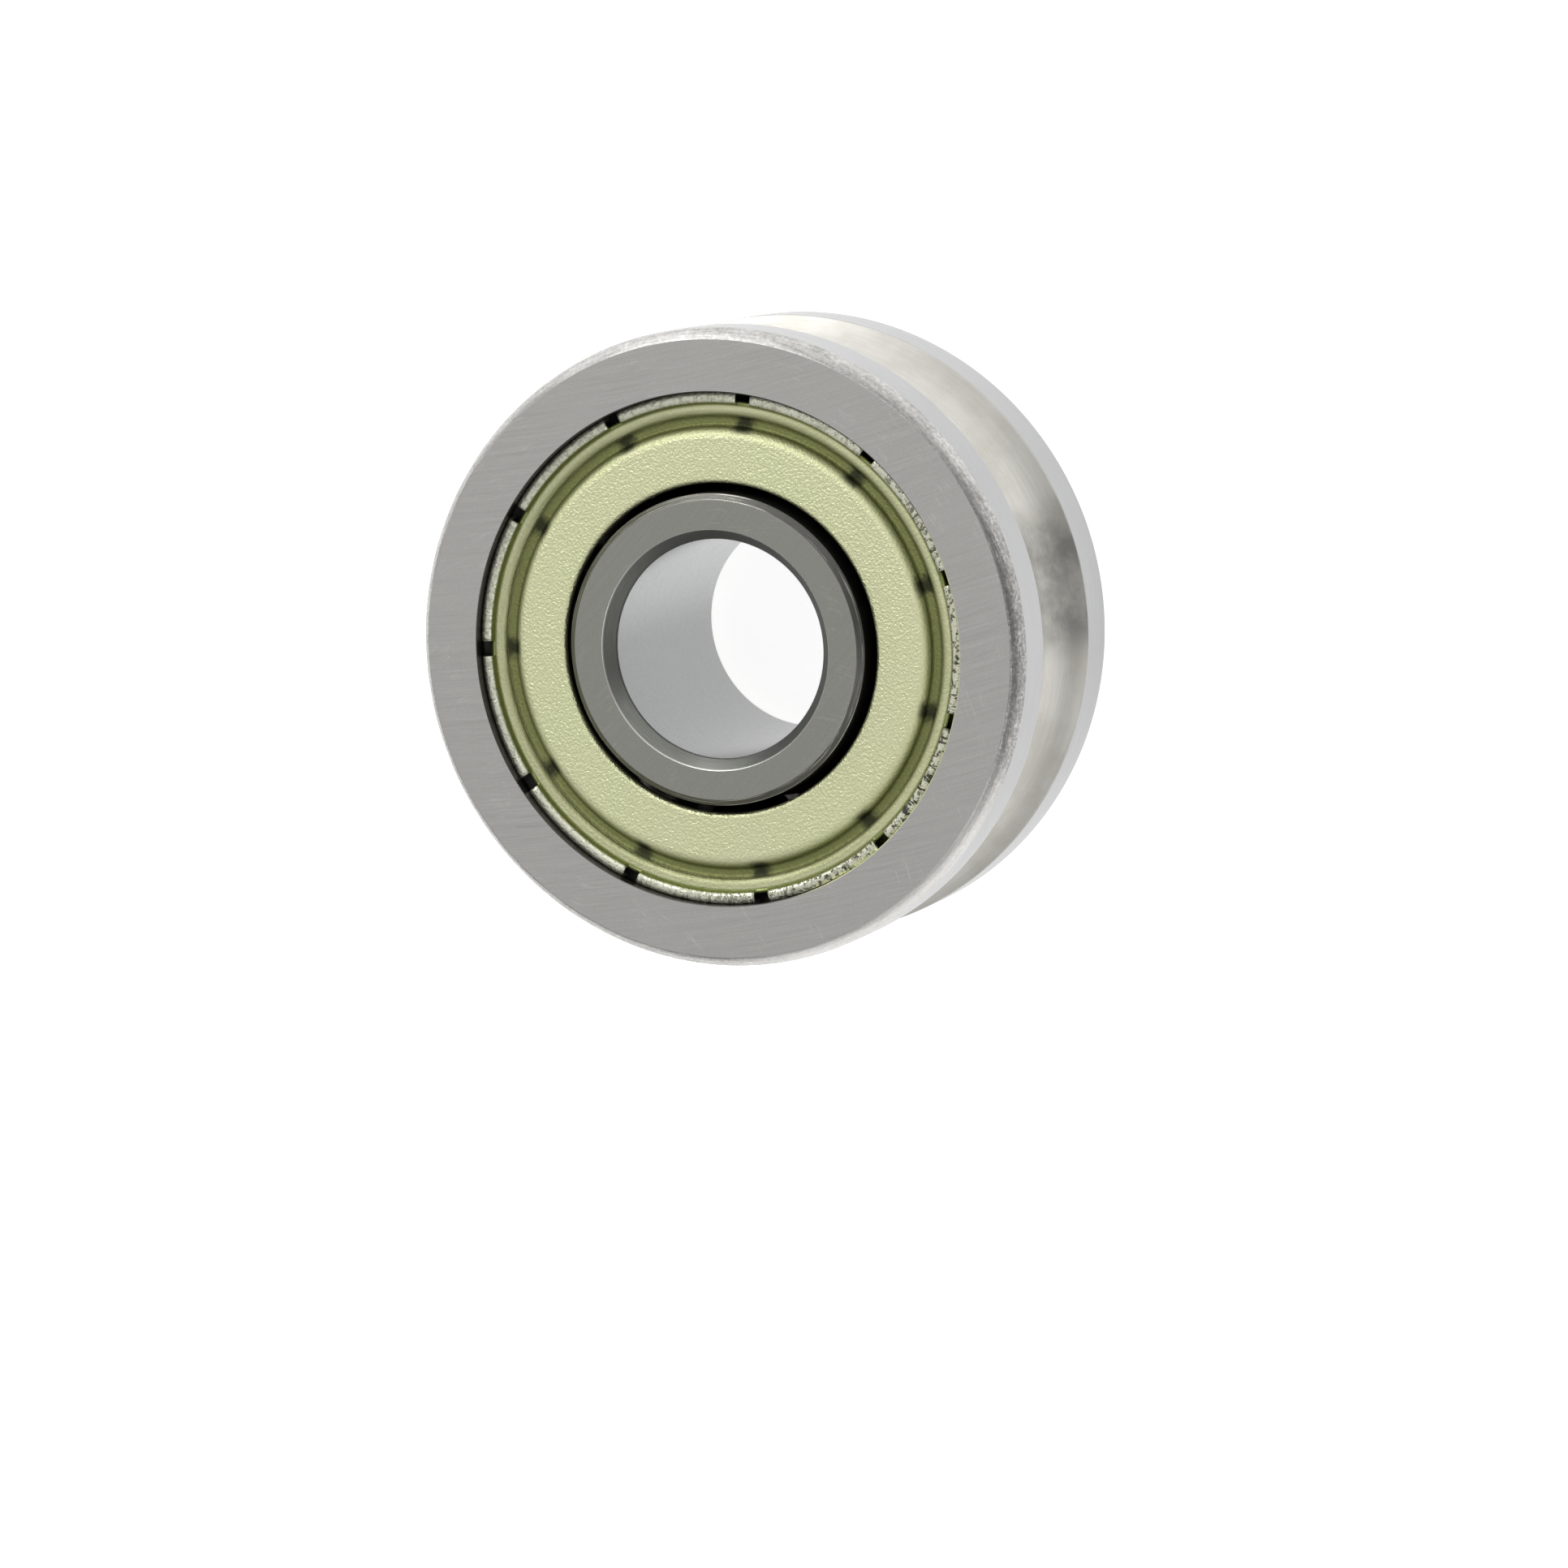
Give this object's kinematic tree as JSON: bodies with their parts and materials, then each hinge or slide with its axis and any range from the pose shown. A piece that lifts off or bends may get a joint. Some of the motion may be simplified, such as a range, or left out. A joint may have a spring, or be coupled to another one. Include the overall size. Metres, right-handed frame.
{
  "type": "u-groove track roller",
  "caption": "Ball-bearing track roller whose thick outer ring has a U-shaped groove for a round rail rod, with pressed metal shields and a plain bore.",
  "frame": {"origin": "centre of the lower end face, on the axis of the bore", "axes": "+Z along the axis of the bore, from the lower end face to the upper one"},
  "size_m": [0.035, 0.035, 0.0159],
  "materials": {
    "ring_steel": "ground",
    "shield_zinc": "satin, yellow-green zinc plating",
    "ball_steel": "polished",
    "cage_polymer": "moulded"
  },
  "bodies": {
    "hub": {"inner_ring": "ring_steel"},
    "roller": {"outer_ring": "ring_steel", "upper_shield": "shield_zinc", "lower_shield": "shield_zinc"},
    "upper_cage": {"upper_cage": "cage_polymer"},
    "upper_ball_01": {"upper_ball_01": "ball_steel"},
    "upper_ball_02": {"upper_ball_02": "ball_steel"},
    "upper_ball_03": {"upper_ball_03": "ball_steel"},
    "upper_ball_04": {"upper_ball_04": "ball_steel"},
    "upper_ball_05": {"upper_ball_05": "ball_steel"},
    "upper_ball_06": {"upper_ball_06": "ball_steel"},
    "upper_ball_07": {"upper_ball_07": "ball_steel"},
    "upper_ball_08": {"upper_ball_08": "ball_steel"},
    "upper_ball_09": {"upper_ball_09": "ball_steel"},
    "upper_ball_10": {"upper_ball_10": "ball_steel"},
    "upper_ball_11": {"upper_ball_11": "ball_steel"},
    "lower_cage": {"lower_cage": "cage_polymer"},
    "lower_ball_01": {"lower_ball_01": "ball_steel"},
    "lower_ball_02": {"lower_ball_02": "ball_steel"},
    "lower_ball_03": {"lower_ball_03": "ball_steel"},
    "lower_ball_04": {"lower_ball_04": "ball_steel"},
    "lower_ball_05": {"lower_ball_05": "ball_steel"},
    "lower_ball_06": {"lower_ball_06": "ball_steel"},
    "lower_ball_07": {"lower_ball_07": "ball_steel"},
    "lower_ball_08": {"lower_ball_08": "ball_steel"},
    "lower_ball_09": {"lower_ball_09": "ball_steel"},
    "lower_ball_10": {"lower_ball_10": "ball_steel"},
    "lower_ball_11": {"lower_ball_11": "ball_steel"}
  },
  "joints": [
    {"name": "roller_spin", "type": "hinge", "parent": "hub", "child": "roller", "pos_m": [0, 0, 0.00795], "axis": [0, 0, 1], "continuous": true},
    {"name": "upper_cage_spin", "type": "hinge", "parent": "hub", "child": "upper_cage", "pos_m": [0, 0, 0.0107], "axis": [0, 0, 1], "continuous": true},
    {"name": "upper_ball_01_spin", "type": "hinge", "parent": "upper_cage", "child": "upper_ball_01", "pos_m": [0.0104, 0, 0.0107], "axis": [0.4226, 0, 0.9063], "continuous": true},
    {"name": "upper_ball_02_spin", "type": "hinge", "parent": "upper_cage", "child": "upper_ball_02", "pos_m": [0.00875, 0.00562, 0.0107], "axis": [0.3555, 0.2285, 0.9063], "continuous": true},
    {"name": "upper_ball_03_spin", "type": "hinge", "parent": "upper_cage", "child": "upper_ball_03", "pos_m": [0.00432, 0.00946, 0.0107], "axis": [0.1756, 0.3844, 0.9063], "continuous": true},
    {"name": "upper_ball_04_spin", "type": "hinge", "parent": "upper_cage", "child": "upper_ball_04", "pos_m": [-0.00148, 0.01029, 0.0107], "axis": [-0.0601, 0.4183, 0.9063], "continuous": true},
    {"name": "upper_ball_05_spin", "type": "hinge", "parent": "upper_cage", "child": "upper_ball_05", "pos_m": [-0.00681, 0.00786, 0.0107], "axis": [-0.2768, 0.3194, 0.9063], "continuous": true},
    {"name": "upper_ball_06_spin", "type": "hinge", "parent": "upper_cage", "child": "upper_ball_06", "pos_m": [-0.00998, 0.00293, 0.0107], "axis": [-0.4055, 0.1191, 0.9063], "continuous": true},
    {"name": "upper_ball_07_spin", "type": "hinge", "parent": "upper_cage", "child": "upper_ball_07", "pos_m": [-0.00998, -0.00293, 0.0107], "axis": [-0.4055, -0.1191, 0.9063], "continuous": true},
    {"name": "upper_ball_08_spin", "type": "hinge", "parent": "upper_cage", "child": "upper_ball_08", "pos_m": [-0.00681, -0.00786, 0.0107], "axis": [-0.2768, -0.3194, 0.9063], "continuous": true},
    {"name": "upper_ball_09_spin", "type": "hinge", "parent": "upper_cage", "child": "upper_ball_09", "pos_m": [-0.00148, -0.01029, 0.0107], "axis": [-0.0601, -0.4183, 0.9063], "continuous": true},
    {"name": "upper_ball_10_spin", "type": "hinge", "parent": "upper_cage", "child": "upper_ball_10", "pos_m": [0.00432, -0.00946, 0.0107], "axis": [0.1756, -0.3844, 0.9063], "continuous": true},
    {"name": "upper_ball_11_spin", "type": "hinge", "parent": "upper_cage", "child": "upper_ball_11", "pos_m": [0.00875, -0.00562, 0.0107], "axis": [0.3555, -0.2285, 0.9063], "continuous": true},
    {"name": "lower_cage_spin", "type": "hinge", "parent": "hub", "child": "lower_cage", "pos_m": [0, 0, 0.0052], "axis": [0, 0, 1], "continuous": true},
    {"name": "lower_ball_01_spin", "type": "hinge", "parent": "lower_cage", "child": "lower_ball_01", "pos_m": [0.00998, 0.00293, 0.0052], "axis": [-0.4055, -0.1191, 0.9063], "continuous": true},
    {"name": "lower_ball_02_spin", "type": "hinge", "parent": "lower_cage", "child": "lower_ball_02", "pos_m": [0.00681, 0.00786, 0.0052], "axis": [-0.2768, -0.3194, 0.9063], "continuous": true},
    {"name": "lower_ball_03_spin", "type": "hinge", "parent": "lower_cage", "child": "lower_ball_03", "pos_m": [0.00148, 0.01029, 0.0052], "axis": [-0.0601, -0.4183, 0.9063], "continuous": true},
    {"name": "lower_ball_04_spin", "type": "hinge", "parent": "lower_cage", "child": "lower_ball_04", "pos_m": [-0.00432, 0.00946, 0.0052], "axis": [0.1756, -0.3844, 0.9063], "continuous": true},
    {"name": "lower_ball_05_spin", "type": "hinge", "parent": "lower_cage", "child": "lower_ball_05", "pos_m": [-0.00875, 0.00562, 0.0052], "axis": [0.3555, -0.2285, 0.9063], "continuous": true},
    {"name": "lower_ball_06_spin", "type": "hinge", "parent": "lower_cage", "child": "lower_ball_06", "pos_m": [-0.0104, 0, 0.0052], "axis": [0.4226, 0, 0.9063], "continuous": true},
    {"name": "lower_ball_07_spin", "type": "hinge", "parent": "lower_cage", "child": "lower_ball_07", "pos_m": [-0.00875, -0.00562, 0.0052], "axis": [0.3555, 0.2285, 0.9063], "continuous": true},
    {"name": "lower_ball_08_spin", "type": "hinge", "parent": "lower_cage", "child": "lower_ball_08", "pos_m": [-0.00432, -0.00946, 0.0052], "axis": [0.1756, 0.3844, 0.9063], "continuous": true},
    {"name": "lower_ball_09_spin", "type": "hinge", "parent": "lower_cage", "child": "lower_ball_09", "pos_m": [0.00148, -0.01029, 0.0052], "axis": [-0.0601, 0.4183, 0.9063], "continuous": true},
    {"name": "lower_ball_10_spin", "type": "hinge", "parent": "lower_cage", "child": "lower_ball_10", "pos_m": [0.00681, -0.00786, 0.0052], "axis": [-0.2768, 0.3194, 0.9063], "continuous": true},
    {"name": "lower_ball_11_spin", "type": "hinge", "parent": "lower_cage", "child": "lower_ball_11", "pos_m": [0.00998, -0.00293, 0.0052], "axis": [-0.4055, 0.1191, 0.9063], "continuous": true}
  ],
  "couplings": [
    {"joint": "upper_cage_spin", "follows": "roller_spin", "ratio": 0.60377},
    {"joint": "upper_ball_01_spin", "follows": "roller_spin", "ratio": 2.0895},
    {"joint": "upper_ball_02_spin", "follows": "roller_spin", "ratio": 2.0895},
    {"joint": "upper_ball_03_spin", "follows": "roller_spin", "ratio": 2.0895},
    {"joint": "upper_ball_04_spin", "follows": "roller_spin", "ratio": 2.0895},
    {"joint": "upper_ball_05_spin", "follows": "roller_spin", "ratio": 2.0895},
    {"joint": "upper_ball_06_spin", "follows": "roller_spin", "ratio": 2.0895},
    {"joint": "upper_ball_07_spin", "follows": "roller_spin", "ratio": 2.0895},
    {"joint": "upper_ball_08_spin", "follows": "roller_spin", "ratio": 2.0895},
    {"joint": "upper_ball_09_spin", "follows": "roller_spin", "ratio": 2.0895},
    {"joint": "upper_ball_10_spin", "follows": "roller_spin", "ratio": 2.0895},
    {"joint": "upper_ball_11_spin", "follows": "roller_spin", "ratio": 2.0895},
    {"joint": "lower_cage_spin", "follows": "roller_spin", "ratio": 0.60377},
    {"joint": "lower_ball_01_spin", "follows": "roller_spin", "ratio": 2.0895},
    {"joint": "lower_ball_02_spin", "follows": "roller_spin", "ratio": 2.0895},
    {"joint": "lower_ball_03_spin", "follows": "roller_spin", "ratio": 2.0895},
    {"joint": "lower_ball_04_spin", "follows": "roller_spin", "ratio": 2.0895},
    {"joint": "lower_ball_05_spin", "follows": "roller_spin", "ratio": 2.0895},
    {"joint": "lower_ball_06_spin", "follows": "roller_spin", "ratio": 2.0895},
    {"joint": "lower_ball_07_spin", "follows": "roller_spin", "ratio": 2.0895},
    {"joint": "lower_ball_08_spin", "follows": "roller_spin", "ratio": 2.0895},
    {"joint": "lower_ball_09_spin", "follows": "roller_spin", "ratio": 2.0895},
    {"joint": "lower_ball_10_spin", "follows": "roller_spin", "ratio": 2.0895},
    {"joint": "lower_ball_11_spin", "follows": "roller_spin", "ratio": 2.0895}
  ]
}
